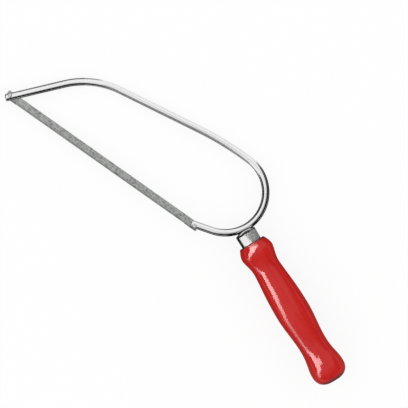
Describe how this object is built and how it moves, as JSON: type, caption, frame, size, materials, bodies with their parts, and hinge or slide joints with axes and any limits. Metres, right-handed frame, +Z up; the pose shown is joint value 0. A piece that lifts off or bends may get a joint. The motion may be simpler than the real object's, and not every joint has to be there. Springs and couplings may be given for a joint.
{
  "type": "mini hacksaw",
  "caption": "Small hacksaw with a bent spring-steel rod frame, a pinned toothed blade held in tension and a turned red-lacquered wooden handle.",
  "frame": {"origin": "on the bench, under the middle of the saw's bounding box as it lies on its side", "axes": "+X along the blade from the nose towards the handle, +Y towards the frame's back, +Z up from the bench; the frame's plane leans about 5 degrees because the saw lies on its nose bend and on the handle's head"},
  "size_m": [0.29, 0.0972, 0.03],
  "materials": {
    "plated_rod": "bright nickel plate",
    "collar_steel": "bright turned steel",
    "tang_steel": "plain steel",
    "ferrule_steel": "polished drawn steel",
    "lacquered_wood": "gloss red lacquer over turned wood",
    "blade_steel": "matt grey hardened strip",
    "pin_steel": "plain steel"
  },
  "bodies": {
    "frame": {"frame_rod": "plated_rod", "saddle_collar": "collar_steel", "tang": "tang_steel", "ferrule": "ferrule_steel", "handle": "lacquered_wood"},
    "blade": {"saw_blade": "blade_steel", "front_blade_pin": "pin_steel", "rear_blade_pin": "pin_steel"}
  },
  "joints": [
    {"name": "blade_swing", "type": "hinge", "parent": "frame", "child": "blade", "pos_m": [-0.14187, -0.01069, 0.00386], "axis": [0.0438, -0.08, -0.9958], "range_deg": [0, 110]}
  ]
}
